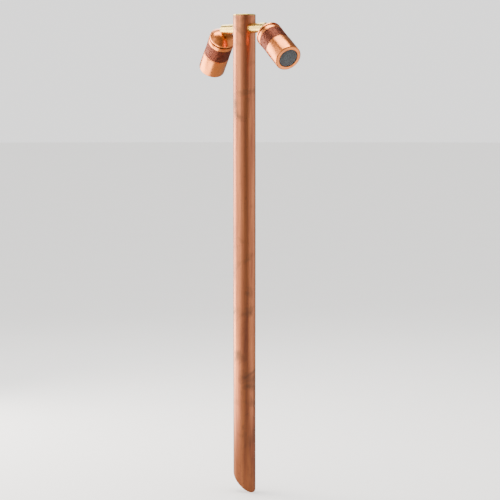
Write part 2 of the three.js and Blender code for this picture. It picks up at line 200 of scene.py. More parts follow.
def finished(name, bm, where=UP, sharp=35):
    """An object from a bmesh, moved to its place and smooth but for edges over sharp degrees."""
    mesh = bpy.data.meshes.new(name)
    bm.to_mesh(mesh)
    bm.free()
    mesh.transform(where)
    if where.determinant() < 0:
        mesh.flip_normals()
    mesh.shade_smooth()
    mesh.set_sharp_from_angle(angle=math.radians(sharp))
    obj = bpy.data.objects.new(name, mesh)
    bpy.context.scene.collection.objects.link(obj)
    return obj


def evaluated(obj):
    """Bakes an object's modifiers into its mesh."""
    depsgraph = bpy.context.evaluated_depsgraph_get()
    mesh = bpy.data.meshes.new_from_object(obj.evaluated_get(depsgraph))
    old = obj.data
    obj.modifiers.clear()
    obj.data = mesh
    bpy.data.meshes.remove(old)
    mesh.name = obj.name
    return obj


def shaped(obj, operation, *tools):
    """Cuts tools from obj, or joins them to it, and removes them."""
    for tool in tools:
        change = obj.modifiers.new(operation, "BOOLEAN")
        change.operation = operation
        change.material_mode = "TRANSFER" if operation == "UNION" else "INDEX"
        change.solver = "EXACT"
        change.object = tool
        evaluated(obj)
        mesh = tool.data
        bpy.data.objects.remove(tool)
        bpy.data.meshes.remove(mesh)
    return obj


def softened(obj, width, steps=2, angle=40):
    """Breaks an object's sharp edges by width, in mm."""
    bevel = obj.modifiers.new("edges", "BEVEL")
    bevel.width = width * MM
    bevel.segments = steps
    bevel.limit_method = "ANGLE"
    bevel.angle_limit = math.radians(angle)
    return evaluated(obj)


# How close a cut face must be to a round surface to be shaded as one: the lean of its normal
# along the axis, the spread of its corners' radii in metres, and the lean along its spoke.
NEARLY_ALONG = 0.03
NEARLY_ROUND = 0.00005
NEARLY_SQUARE = 0.99


def polished(obj, where, sharp=35):
    """Gives faces that lie round the axis of where that axis's true round normals."""
    mesh = obj.data
    mesh.shade_smooth()
    mesh.set_sharp_from_angle(angle=math.radians(sharp))
    axis = where.to_3x3() @ Vector((0, 0, 1))
    normals = [n.vector.copy() for n in mesh.corner_normals]
    for face in mesh.polygons:
        if abs(face.normal.dot(axis)) > NEARLY_ALONG:
            continue
        offsets = [mesh.vertices[v].co - where.translation for v in face.vertices]
        spokes = [offset - offset.dot(axis) * axis for offset in offsets]
        radii = [spoke.length for spoke in spokes]
        lean = face.normal.dot(sum(spokes, Vector()).normalized())
        if max(radii) - min(radii) > NEARLY_ROUND or abs(lean) < NEARLY_SQUARE:
            continue
        for i, spoke in zip(face.loop_indices, spokes):
            normals[i] = spoke.normalized() * math.copysign(1, lean)
    mesh.normals_split_custom_set(normals)
    return obj


def bar(name, radius, low, high, where, segments=64):
    """A plain round bar to cut with, in mm along the axis of where."""
    outline = [(0, low), (radius, low), (radius, high), (0, high)]
    return finished(name, turned(outline, segments), where)


def prism(name, outline, low, high, where):
    """A flat outline of (x, y) in mm, pulled from low to high along the axis of where."""
    bm = bmesh.new()
    base = bm.faces.new([bm.verts.new((x * MM, y * MM, low * MM)) for x, y in outline])
    pulled = bmesh.ops.extrude_face_region(bm, geom=[base])
    raised = [v for v in pulled["geom"] if isinstance(v, bmesh.types.BMVert)]
    bmesh.ops.translate(bm, vec=(0, 0, (high - low) * MM), verts=raised)
    bmesh.ops.recalc_face_normals(bm, faces=bm.faces)
    return finished(name, bm, where)


def hexagon(across_flats):
    corner = across_flats / math.sqrt(3)
    return [(corner * math.cos(TURN * k / 6), corner * math.sin(TURN * k / 6)) for k in range(6)]


def settled(obj, material, body, node):
    """Dresses a finished piece, hangs it on the body it rides on, and hides the CAD part it stands for.

    A piece that has its materials already is settled with None.
    """
    if material:
        obj.data.materials.clear()
        obj.data.materials.append(material)
    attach(obj, body)
    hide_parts(node)


# ---- Materials --------------------------------------------------------------------------


def add(tree, kind, links=(), **settings):
    """Adds a node: settings are its own properties, links pairs of (input, value or socket)."""
    node = tree.nodes.new(kind)
    for key, value in settings.items():
        setattr(node, key, value)
    for key, value in links:
        if isinstance(value, bpy.types.NodeSocket):
            tree.links.new(value, node.inputs[key])
        else:
            node.inputs[key].default_value = value
    return node


def every(mm):
    """The scale that brings a pattern back about every so many millimetres."""
    return 1 / (mm * MM)


def blank(name):
    """A new material and its empty tree, or the one made before and no tree."""
    material = bpy.data.materials.get(name)
    if material:
        return material, None
    material = bpy.data.materials.new(name)
    material.use_nodes = True
    material.node_tree.nodes.clear()
    return material, material.node_tree


def rgba(colour):
    return (*colour[:3], 1.0)


def aged_copper_tube(look):
    """Drawn copper tube, never lacquered and handled for a while.

    The drawing dies leave fine lines along the tube. Air turns the pink metal brown in long
    streaks, and damp hands leave duller, darker patches, so the shine comes and goes.
    """
    material, tree = blank("aged_copper_tube")
    if tree is None:
        return material
    spot = add(tree, "ShaderNodeTexCoord").outputs["Object"]
    wide = 1 / look.streak_width
    fine = 1 / look.line_width
    long_way = add(tree, "ShaderNodeMapping", [
        ("Vector", spot), ("Scale", (wide, wide, 1 / look.streak_length))])
    streaks = add(tree, "ShaderNodeTexNoise", [
        ("Vector", long_way.outputs[0]), ("Scale", 1.0), ("Detail", 5.0), ("Roughness", 0.62),
        ("Distortion", 0.35)])
    line_way = add(tree, "ShaderNodeMapping", [
        ("Vector", spot), ("Scale", (fine, fine, 1 / look.line_length))])
    lines = add(tree, "ShaderNodeTexNoise", [
        ("Vector", line_way.outputs[0]), ("Scale", 1.0), ("Detail", 3.0), ("Roughness", 0.7)])
    patch_way = add(tree, "ShaderNodeMapping", [
        ("Vector", spot), ("Location", look.patch_shift),
        ("Scale", (every(70), every(70), 1 / look.patch_size))])
    patches = add(tree, "ShaderNodeTexNoise", [
        ("Vector", patch_way.outputs[0]), ("Scale", 1.0), ("Detail", 4.0), ("Roughness", 0.55),
        ("Distortion", 0.6)])
    flecks = add(tree, "ShaderNodeTexNoise", [("Vector", spot), ("Scale", every(6)), ("Detail", 3.0)])
    brown = add(tree, "ShaderNodeMapRange", [
        ("Value", streaks.outputs["Fac"]), ("From Min", 0.34), ("From Max", 0.68)])
    drawn = add(tree, "ShaderNodeMapRange", [
        ("Value", lines.outputs["Fac"]), ("From Min", 0.3), ("From Max", 0.75), ("To Max", 0.45)])
    dull = add(tree, "ShaderNodeMapRange", [
        ("Value", patches.outputs["Fac"]), ("From Min", 0.54), ("From Max", 0.72)])
    fleck = add(tree, "ShaderNodeMapRange", [
        ("Value", flecks.outputs["Fac"]), ("From Min", 0.6), ("From Max", 0.78), ("To Max", 0.5)])
    streaky = add(tree, "ShaderNodeMix", [
        ("Factor", brown.outputs[0]), ("A", rgba(look.copper)),
        ("B", rgba(look.brown))], data_type="RGBA")
    lined = add(tree, "ShaderNodeMix", [
        ("Factor", drawn.outputs[0]), ("A", streaky.outputs["Result"]),
        ("B", rgba(look.line))], data_type="RGBA")
    flecked = add(tree, "ShaderNodeMix", [
        ("Factor", fleck.outputs[0]), ("A", lined.outputs["Result"]),
        ("B", rgba(look.brown))], data_type="RGBA")
    handled = add(tree, "ShaderNodeMix", [
        ("Factor", dull.outputs[0]), ("A", flecked.outputs["Result"]),
        ("B", rgba(look.dull))], data_type="RGBA")
    shine = add(tree, "ShaderNodeMapRange", [
        ("Value", streaks.outputs["Fac"]), ("From Min", 0.3), ("From Max", 0.7), ("To Min", 0.28),
        ("To Max", 0.42)])
    matt = add(tree, "ShaderNodeMath", [
        (0, dull.outputs[0]), (1, 0.16), (2, shine.outputs[0])], operation="MULTIPLY_ADD")
    height = add(tree, "ShaderNodeMath", [
        (0, patches.outputs["Fac"]), (1, 0.5), (2, lines.outputs["Fac"])], operation="MULTIPLY_ADD")
    bump = add(tree, "ShaderNodeBump", [
        ("Height", height.outputs[0]), ("Strength", 0.25), ("Distance", 0.00012)])
    shader = add(tree, "ShaderNodeBsdfPrincipled", [
        ("Base Color", handled.outputs["Result"]), ("Metallic", 1.0), ("Roughness", matt.outputs[0]),
        ("Normal", bump.outputs[0])])
    add(tree, "ShaderNodeOutputMaterial", [("Surface", shader.outputs[0])])
    return material


def turned_metal(name, colour, shade, roughness, tool_pitch, tarnish=0.35):
    """Copper or brass off the lathe: the tool leaves fine rings, and the colour is uneven.

    The rings run round the piece, so they read its own turning map: its second axis is the
    distance along the outline, in metres.
    """
    material, tree = blank(name)
    if tree is None:
        return material
    turning = add(tree, "ShaderNodeUVMap", uv_map="turning").outputs[0]
    spot = add(tree, "ShaderNodeTexCoord").outputs["Object"]
    ring_way = add(tree, "ShaderNodeMapping", [
        ("Vector", turning), ("Scale", (0.0, 1 / tool_pitch, 0.0))])
    rings = add(tree, "ShaderNodeTexNoise", [
        ("Vector", ring_way.outputs[0]), ("Scale", 1.0), ("Detail", 3.0), ("Roughness", 0.6)])
    clouds = add(tree, "ShaderNodeTexNoise", [
        ("Vector", spot), ("Scale", every(18)), ("Detail", 5.0), ("Roughness", 0.6), ("Distortion", 0.4)])
    marks = add(tree, "ShaderNodeTexNoise", [("Vector", spot), ("Scale", every(2.4)), ("Detail", 2.0)])
    cloudy = add(tree, "ShaderNodeMapRange", [
        ("Value", clouds.outputs["Fac"]), ("From Min", 0.42), ("From Max", 0.75), ("To Max", tarnish)])
    tone = add(tree, "ShaderNodeMix", [
        ("Factor", cloudy.outputs[0]), ("A", rgba(colour)), ("B", rgba(shade))], data_type="RGBA")
    shine = add(tree, "ShaderNodeMapRange", [
        ("Value", clouds.outputs["Fac"]), ("From Min", 0.3), ("From Max", 0.75),
        ("To Min", roughness - 0.05), ("To Max", roughness + 0.09)])
    satin = add(tree, "ShaderNodeMath", [
        (0, marks.outputs["Fac"]), (1, 0.05), (2, shine.outputs[0])], operation="MULTIPLY_ADD")
    bump = add(tree, "ShaderNodeBump", [
        ("Height", rings.outputs["Fac"]), ("Strength", 0.3), ("Distance", 0.00003)])
    shader = add(tree, "ShaderNodeBsdfPrincipled", [
        ("Base Color", tone.outputs["Result"]), ("Metallic", 1.0), ("Roughness", satin.outputs[0]),
        ("Normal", bump.outputs[0])])
    add(tree, "ShaderNodeOutputMaterial", [("Surface", shader.outputs[0])])
    return material


def stainless_steel():
    """Stainless fasteners: bright, with a fine bead-blasted grain and faint handling marks."""
    material, tree = blank("stainless_steel")
    if tree is None:
        return material
    spot = add(tree, "ShaderNodeTexCoord").outputs["Object"]
    grain = add(tree, "ShaderNodeTexNoise", [("Vector", spot), ("Scale", every(0.7)), ("Detail", 2.0)])
    wear = add(tree, "ShaderNodeTexNoise", [("Vector", spot), ("Scale", every(5)), ("Detail", 4.0)])
    tone = add(tree, "ShaderNodeMix", [
        ("Factor", wear.outputs["Fac"]), ("A", rgba(linear("#C9CBCC"))),
        ("B", rgba(linear("#8E9092")))], data_type="RGBA")
    rough = add(tree, "ShaderNodeMapRange", [
        ("Value", wear.outputs["Fac"]), ("To Min", 0.22), ("To Max", 0.42)])
    bump = add(tree, "ShaderNodeBump", [
        ("Height", grain.outputs["Fac"]), ("Strength", 0.15), ("Distance", 0.00005)])
    shader = add(tree, "ShaderNodeBsdfPrincipled", [
        ("Base Color", tone.outputs["Result"]), ("Metallic", 1.0), ("Roughness", rough.outputs[0]),
        ("Normal", bump.outputs[0])])
    add(tree, "ShaderNodeOutputMaterial", [("Surface", shader.outputs[0])])
    return material


def silicone_rubber():
    """Moulded black silicone: matt, faintly dusty, with the fine pebble of its mould."""
    material, tree = blank("black_silicone_rubber")
    if tree is None:
        return material
    spot = add(tree, "ShaderNodeTexCoord").outputs["Object"]
    pebble = add(tree, "ShaderNodeTexNoise", [("Vector", spot), ("Scale", every(1.1)), ("Detail", 2.0)])
    dust = add(tree, "ShaderNodeTexNoise", [("Vector", spot), ("Scale", every(14)), ("Detail", 5.0)])
    dusty = add(tree, "ShaderNodeMapRange", [
        ("Value", dust.outputs["Fac"]), ("From Min", 0.45), ("From Max", 0.8)])
    tone = add(tree, "ShaderNodeMix", [
        ("Factor", dusty.outputs[0]), ("A", rgba(linear("#141415"))),
        ("B", rgba(linear("#2B2A29")))], data_type="RGBA")
    rough = add(tree, "ShaderNodeMapRange", [
        ("Value", dust.outputs["Fac"]), ("To Min", 0.55), ("To Max", 0.8)])
    bump = add(tree, "ShaderNodeBump", [
        ("Height", pebble.outputs["Fac"]), ("Strength", 0.2), ("Distance", 0.0001)])
    shader = add(tree, "ShaderNodeBsdfPrincipled", [
        ("Base Color", tone.outputs["Result"]), ("Roughness", rough.outputs[0]), ("IOR", 1.41),
        ("Normal", bump.outputs[0])])
    add(tree, "ShaderNodeOutputMaterial", [("Surface", shader.outputs[0])])
    return material


def toughened_glass(name, colour, roughness):
    """Polished soda-lime or quartz glass, with a little dust that catches the light."""
    material, tree = blank(name)
    if tree is None:
        return material
    spot = add(tree, "ShaderNodeTexCoord").outputs["Object"]
    dust = add(tree, "ShaderNodeTexNoise", [
        ("Vector", spot), ("Scale", every(4)), ("Detail", 6.0), ("Roughness", 0.7)])
    rough = add(tree, "ShaderNodeMapRange", [
        ("Value", dust.outputs["Fac"]), ("From Min", 0.4), ("From Max", 0.8), ("To Min", roughness),
        ("To Max", roughness + 0.08)])
    bump = add(tree, "ShaderNodeBump", [
        ("Height", dust.outputs["Fac"]), ("Strength", 0.02), ("Distance", 0.0001)])
    shader = add(tree, "ShaderNodeBsdfPrincipled", [
        ("Base Color", rgba(colour)), ("Roughness", rough.outputs[0]), ("IOR", 1.52),
        ("Transmission Weight", 1.0), ("Normal", bump.outputs[0])])
    add(tree, "ShaderNodeOutputMaterial", [("Surface", shader.outputs[0])])
    return material


def mirror_coating(look):
    """The vacuum coating inside the lamp's glass cup: a dark, cool mirror."""
    material, tree = blank("lamp_mirror_coating")
    if tree is None:
        return material
    spot = add(tree, "ShaderNodeTexCoord").outputs["Object"]
    film = add(tree, "ShaderNodeTexNoise", [("Vector", spot), ("Scale", every(11)), ("Detail", 4.0)])
    tone = add(tree, "ShaderNodeMix", [
        ("Factor", film.outputs["Fac"]), ("A", rgba(look.mirror)),
        ("B", rgba(look.mirror_shade))], data_type="RGBA")
    rough = add(tree, "ShaderNodeMapRange", [
        ("Value", film.outputs["Fac"]), ("To Min", 0.22), ("To Max", 0.4)])
    shader = add(tree, "ShaderNodeBsdfPrincipled", [
        ("Base Color", tone.outputs["Result"]), ("Metallic", 1.0), ("Roughness", rough.outputs[0])])
    add(tree, "ShaderNodeOutputMaterial", [("Surface", shader.outputs[0])])
    return material


def steatite():
    """Pressed steatite ceramic: cream, unglazed, with a fine sandy grain."""
    material, tree = blank("steatite_ceramic")
    if tree is None:
        return material
    spot = add(tree, "ShaderNodeTexCoord").outputs["Object"]
    sand = add(tree, "ShaderNodeTexNoise", [("Vector", spot), ("Scale", every(0.9)), ("Detail", 3.0)])
    tone = add(tree, "ShaderNodeMix", [
        ("Factor", sand.outputs["Fac"]), ("A", rgba(linear("#E9E3D3"))),
        ("B", rgba(linear("#CFC6B2")))], data_type="RGBA")
    bump = add(tree, "ShaderNodeBump", [
        ("Height", sand.outputs["Fac"]), ("Strength", 0.3), ("Distance", 0.0001)])
    shader = add(tree, "ShaderNodeBsdfPrincipled", [
        ("Base Color", tone.outputs["Result"]), ("Roughness", 0.62), ("IOR", 1.6),
        ("Normal", bump.outputs[0])])
    add(tree, "ShaderNodeOutputMaterial", [("Surface", shader.outputs[0])])
    return material


CREST_SHADE = 0.7


def finned_copper(look):
    """Copper on the fins: polishing reaches only their crests, and the grooves go nearly black, partly oxide
    and partly painted shade.
    """
    material, tree = blank("finned_copper")
    if tree is None:
        return material
    spot = add(tree, "ShaderNodeTexCoord").outputs["Object"]
    depth = add(tree, "ShaderNodeAttribute", attribute_name="groove").outputs["Fac"]
    clouds = add(tree, "ShaderNodeTexNoise", [("Vector", spot), ("Scale", every(14)), ("Detail", 4.0)])
    crest = add(tree, "ShaderNodeMix", [
        ("Factor", clouds.outputs["Fac"]), ("A", rgba(look.fin)),
        ("B", rgba([CREST_SHADE * c for c in look.fin]))], data_type="RGBA")
    # Deeper in a groove the colour turns to the near-black groove colour: oxide, plus painted shade where the
    # groove lies in shadow.
    buried = add(tree, "ShaderNodeMapRange", [("Value", depth), ("From Min", 0.02), ("From Max", 0.35)])
    tone = add(tree, "ShaderNodeMix", [
        ("Factor", buried.outputs[0]), ("A", crest.outputs["Result"]),
        ("B", rgba(look.oxide_and_shade))], data_type="RGBA")
    rough = add(tree, "ShaderNodeMapRange", [
        ("Value", buried.outputs[0]), ("To Min", 0.46), ("To Max", 0.8)])
    bump = add(tree, "ShaderNodeBump", [
        ("Height", clouds.outputs["Fac"]), ("Strength", 0.1), ("Distance", 0.0001)])
    shader = add(tree, "ShaderNodeBsdfPrincipled", [
        ("Base Color", tone.outputs["Result"]), ("Metallic", 1.0), ("Roughness", rough.outputs[0]),
        ("Normal", bump.outputs[0])])
    add(tree, "ShaderNodeOutputMaterial", [("Surface", shader.outputs[0])])
    return material


def turned_copper(look):
    return turned_metal("satin_turned_copper", look.copper, look.shade, look.roughness, look.tool_pitch)


def turned_brass(look):
    return turned_metal("turned_brass", look.brass, look.shade, look.roughness, look.tool_pitch, 0.5)


# ---- Sizes and colours that a user may change --------------------------------------------


def length(name, description, default_mm):
    return FloatProperty(
        name=name, description=description, default=default_mm * MM, min=0.0, unit="LENGTH")


def colour(name, description, hex_colour):
    return FloatVectorProperty(
        name=name, description=description, default=linear(hex_colour), size=3, min=0.0, max=1.0,
        subtype="COLOR")


class PoleLook(bpy.types.PropertyGroup):
    wall: length("Wall", "Thickness of the tube's wall", 1.6)
    foot_slope: FloatProperty(
        name="Foot slope", description="Slope of the slant-cut foot from horizontal",
        default=math.radians(45), subtype="ANGLE")
    cap_edge: length("Cap edge", "Radius of the cap's upper edge", 2.2)
    cap_crown: length("Cap crown", "Rise of the cap's top from rim to middle", 0.5)
    streak_width: length("Streak width", "Width of a brown streak", 16)
    streak_length: length("Streak length", "Length of a brown streak", 230)
    line_width: length("Line width", "Width of a drawn line", 1.6)
    line_length: length("Line length", "Length of a drawn line", 60)
    patch_size: length("Patch size", "Height of a dull, handled patch", 70)
    patch_shift: FloatVectorProperty(
        name="Patch shift", description="Moves the dull patches", default=(3.1, 1.7, 0.4))
    copper: colour("Copper", "Bare copper", "#EE935F")
    line: colour("Line", "Copper in the drawn lines", "#C9785A")
    brown: colour("Brown", "Browned copper", "#A0614A")
    dull: colour("Dull", "Dull, handled copper", "#86604A")


class ArmLook(bpy.types.PropertyGroup):
    brass: colour("Brass", "Clean brass", "#F6D374")
    shade: colour("Shade", "Duller brass", "#DBAF54")
    roughness: FloatProperty(
        name="Roughness", description="Roughness of the brass", default=0.24, min=0.0, max=1.0)
    tool_pitch: length("Tool pitch", "Spacing of the turning marks, coarse enough to show", 0.35)


class HeadLook(bpy.types.PropertyGroup):
    radius: length("Radius", "Radius of the heads", 30)
    groove_count: IntProperty(
        name="Grooves", description="Cooling grooves in a finned body", default=9, min=1)
    groove_pitch: length("Groove pitch", "Spacing of the cooling grooves", 3.9)
    groove_width: length("Groove width", "Width of a cooling groove", 1.9)
    groove_depth: length("Groove depth", "Depth of a cooling groove", 3.0)
    copper: colour("Copper", "Clean turned copper", "#F28E4C")
    shade: colour("Shade", "Browned turned copper", "#C46C3C")
    fin: colour("Fin", "Crests of the fins, which polishing misses", "#A55C47")
    # The groove colour is partly copper oxide and partly painted shade down in the grooves.
    oxide_and_shade: colour("Oxide", "Copper oxide down in the grooves", "#2A1310")
    roughness: FloatProperty(
        name="Roughness", description="Roughness of the copper", default=0.24, min=0.0, max=1.0)
    tool_pitch: length("Tool pitch", "Spacing of the turning marks, coarse enough to show", 0.4)


class LampLook(bpy.types.PropertyGroup):
    facets: IntProperty(name="Facets", description="Facets round the lamp's mirror", default=32, min=6)
    glass: colour("Glass", "Tint of the lens", "#74858B")
    mirror: colour("Mirror", "Mirror coating", "#5A6468")
    mirror_shade: colour("Mirror shade", "Thin places in the mirror coating", "#3B4449")


class StageLook(bpy.types.PropertyGroup):
    floor: colour("Floor", "Colour of the floor", "#FDFCFA")
    wall: colour("Walls", "Colour of the far walls", "#F2F1F0")
    ambient: FloatProperty(name="Ambient", description="Brightness of the walls", default=1.9, min=0.0)
    mirrored: FloatProperty(
        name="Mirrored", description="Brightness of the walls in metal", default=0.26, min=0.0)
    distance: FloatProperty(
        name="Camera distance", description="From the pole to the camera", default=4.0, unit="LENGTH")
    height: FloatProperty(
        name="Camera height", description="Above the foot's tip", default=0.88, unit="LENGTH")
    aside: FloatProperty(
        name="Camera aside", description="To the right of the pole", default=0.0126, unit="LENGTH")
    pitch: FloatProperty(
        name="Camera pitch", description="Down from level", default=math.radians(4.6415), subtype="ANGLE")
    focal: FloatProperty(
        name="Focal length", description="In millimetres, on a 36 mm wide sensor", default=127.07)
    key: FloatProperty(
        name="Key", description="Brightness of the light behind, on the left", default=10.0, min=0.0)
    side: FloatProperty(
        name="Side", description="Brightness of the wide light on the left", default=1.7, min=0.0)
    top: FloatProperty(name="Top", description="Brightness of the light overhead", default=9.0, min=0.0)
    right: FloatProperty(
        name="Right", description="Brightness of the wide light on the right", default=0.75, min=0.0)
    board: FloatProperty(
        name="Board", description="Brightness of the low board on the right", default=1.6, min=0.0)


# ---- Stage ------------------------------------------------------------------------------

SENSOR = 36.0


def make_world(look):
    """Pale all round, but dim as the metal mirrors it, as a studio's far walls are."""
    world = bpy.data.worlds.new("studio")
    world.use_nodes = True
    tree = world.node_tree
    tree.nodes.clear()
    rays = add(tree, "ShaderNodeLightPath")
    pale = add(tree, "ShaderNodeBackground", [("Color", rgba(look.wall)), ("Strength", look.ambient)])
    dim = add(tree, "ShaderNodeBackground", [("Color", rgba(look.wall)), ("Strength", look.mirrored)])
    both = add(tree, "ShaderNodeMixShader", [
        ("Fac", rays.outputs["Is Glossy Ray"]), (1, pale.outputs[0]), (2, dim.outputs[0])])
    add(tree, "ShaderNodeOutputWorld", [("Surface", both.outputs[0])])
    bpy.context.scene.world = world


FLOOR_RADIUS = 40.0
# Shares of the floor's colour: in its mottling, and as polished metal mirrors it.
MOTTLED = 0.97
MIRRORED = 0.2


def make_floor(look):
    """A wide, matt, pale floor, dimmer where polished metal mirrors it."""
    bm = bmesh.new()
    bmesh.ops.create_circle(bm, cap_ends=True, radius=FLOOR_RADIUS, segments=96)
    floor = finished("floor", bm)
    material, tree = blank("matt_floor")
    rays = add(tree, "ShaderNodeLightPath")
    spot = add(tree, "ShaderNodeTexCoord").outputs["Object"]
    mottle = add(tree, "ShaderNodeTexNoise", [("Vector", spot), ("Scale", every(330)), ("Detail", 4.0)])
    tone = add(tree, "ShaderNodeMix", [
        ("Factor", mottle.outputs["Fac"]), ("A", rgba(look.floor)),
        ("B", rgba([MOTTLED * c for c in look.floor]))], data_type="RGBA")
    seen = add(tree, "ShaderNodeMix", [
        ("Factor", rays.outputs["Is Glossy Ray"]), ("A", tone.outputs["Result"]),
        ("B", rgba([MIRRORED * c for c in look.floor]))], data_type="RGBA")
    shader = add(tree, "ShaderNodeBsdfPrincipled", [
        ("Base Color", seen.outputs["Result"]), ("Roughness", 0.75)])
    add(tree, "ShaderNodeOutputMaterial", [("Surface", shader.outputs[0])])
    floor.data.materials.append(material)


def make_light(name, brightness, width, height, spot, target, tint):
    """A flat, soft light of the given brightness, facing target."""
    data = bpy.data.lights.new(name, "AREA")
    data.shape = "RECTANGLE"
    data.size = width
    data.size_y = height
    data.energy = brightness * math.pi * width * height
    data.color = linear(tint)
    lamp = bpy.data.objects.new(name, data)
    lamp.location = spot
    lamp.rotation_euler = (Vector(target) - Vector(spot)).to_track_quat("-Z", "Y").to_euler()
    lamp.visible_camera = False
    bpy.context.scene.collection.objects.link(lamp)


def round_the_pole(degrees, distance, height):
    """A spot at an angle round the pole from the camera's side, counted to the right."""
    angle = math.radians(degrees)
    return (distance * math.sin(angle), -distance * math.cos(angle), height)


WARM, WARMER, COOL, WHITE = "#FFFAF4", "#FFF8F0", "#FAF8FF", "#FFFFFF"
FRONT_SHARE = 0.3
BACK_SHARE = 0.5
BOARD_SHARE = 0.5


def lights(look):
    """Each light's name, brightness, width, height, spot, target and tint, in metres.

    Tall lights stand round the pole, and low boards lie on either side and shine up.
    """
    over = (-0.2, 0.17)
    left, right = (-0.95, 0.15), (0.85, -0.2)
    return (
        ("key_light", look.key, 1.0, 1.7, round_the_pole(-121, 1.5, 0.92), (0, 0, 0.92), WARMER),
        ("side_light", look.side, 2.6, 3.3, round_the_pole(-65, 2.2, 1.75), (0, 0, 1.75), WARMER),
        ("front_light", look.side * FRONT_SHARE, 1.0, 2.6, round_the_pole(-18, 2.4, 1.4), (0, 0, 1.4), WHITE),
        ("back_light", look.key * BACK_SHARE, 1.6, 1.3, round_the_pole(-163, 2.2, 2.3), (0, 0, 1.05), WHITE),
        ("top_light", look.top, 1.3, 0.85, (*over, 2.6), (*over, 0), WARM),
        ("right_light", look.right, 4.0, 2.4, round_the_pole(88, 2.2, 1.25), (0, 0, 1.25), COOL),
        ("left_board", look.key * BOARD_SHARE, 1.0, 1.5, (*left, 0.06), (*left, 2), WARMER),
        ("right_board", look.board, 0.6, 0.7, (*right, 0.06), (*right, 2), WHITE))


class POLELIGHT_OT_stage(bpy.types.Operator):
    """Makes the floor, the lights and the camera"""

    bl_idname = "polelight.stage"
    bl_label = "Stage"

    def execute(self, context):
        look = context.scene.polelight_stage
        data = bpy.data.cameras.new("camera")
        data.lens = look.focal
        data.sensor_width = SENSOR
        camera = bpy.data.objects.new("camera", data)
        camera.location = (look.aside, -look.distance, look.height)
        camera.rotation_euler = (math.pi / 2 - look.pitch, 0, 0)
        context.scene.collection.objects.link(camera)
        context.scene.camera = camera
        make_world(look)
        make_floor(look)
        for name, brightness, width, height, spot, target, tint in lights(look):
            make_light(name, brightness, width, height, spot, target, tint)
        return {"FINISHED"}


# ---- Pole -------------------------------------------------------------------------------


def foot_height(x, y, slope):
    """Height of the slant cut over a point of the plan: it falls to 0 at the foot's tip."""
    tip = Vector((FOOT_TIP.x, FOOT_TIP.y)).normalized()
    return (TUBE_RADIUS - Vector((x, y)).dot(tip)) * math.tan(slope)


# The small round on the tube's sawn edges, and shares of it: how far the foot's edge lifts off
# the cut on its flat and at its corner, and how far that corner is set in.
BURR = 0.3 * MM
FLAT_LIFT, CORNER_LIFT, CORNER_INSET = 0.1, 0.5, 0.3


def tube_with_slant_foot(look, segments=192, rows=48):
    """The tube, from the outline across its wall at each place round it, up and back."""
    outer = TUBE_RADIUS
    inner = TUBE_RADIUS - look.wall
    bm = bmesh.new()
    columns = []
    for k in range(segments):
        angle = TURN * k / segments
        column = []

        def point(radius, height=None, lift=0.0):
            x, y = radius * math.cos(angle), radius * math.sin(angle)
            z = height if height is not None else foot_height(x, y, look.foot_slope) + lift
            column.append(bm.verts.new((x, y, z)))

        across, along = math.cos(angle), math.sin(angle)
        low_out, low_in = (
            foot_height(r * across, r * along, look.foot_slope) + 2 * BURR for r in (outer, inner))
        for i in range(rows + 1):
            point(outer, low_out + (TUBE_TOP - BURR - low_out) * i / rows)
        point(outer - BURR, TUBE_TOP)
        point(inner + BURR, TUBE_TOP)
        for i in range(rows + 1):
            point(inner, TUBE_TOP - BURR - (TUBE_TOP - BURR - low_in) * i / rows)
        point(inner + BURR, lift=FLAT_LIFT * BURR)
        point(outer - BURR, lift=FLAT_LIFT * BURR)
        point(outer - CORNER_INSET * BURR, lift=CORNER_LIFT * BURR)
        columns.append(column)
    for k, column in enumerate(columns):
        beside = columns[(k + 1) % segments]
        for i in range(len(column)):
            j = (i + 1) % len(column)
            bm.faces.new((column[i], beside[i], beside[j], column[j]))
    bmesh.ops.recalc_face_normals(bm, faces=bm.faces)
    return finished("pole", bm)


def screw_back_place(node):
    """Square to the pole's axis, out through the middle of a hub screw."""
    centre = middle(node)
    return place((0, 0, centre.z), (centre.x, centre.y, 0))


class POLELIGHT_OT_pole(bpy.types.Operator):
    """Makes the slant-cut copper tube with its holes"""

    bl_idname = "polelight.pole"
    bl_label = "Pole"

    def execute(self, context):
        look = context.scene.polelight_pole
        pole = tube_with_slant_foot(look)
        arm_hole, screw_hole = 11.25, 2.4
        inside, reach = 15, 40
        along = bar("arm_hole", arm_hole, -reach, reach, arm_place("right"), 128)
        backs = [
            bar(f"{node}_hole", screw_hole, inside, reach, screw_back_place(node)) for node in HUB_SCREWS]
        shaped(pole, "DIFFERENCE", along, *backs)
        polished(pole, UP)
        settled(pole, aged_copper_tube(look), "pole", "pole_tube")
        return {"FINISHED"}


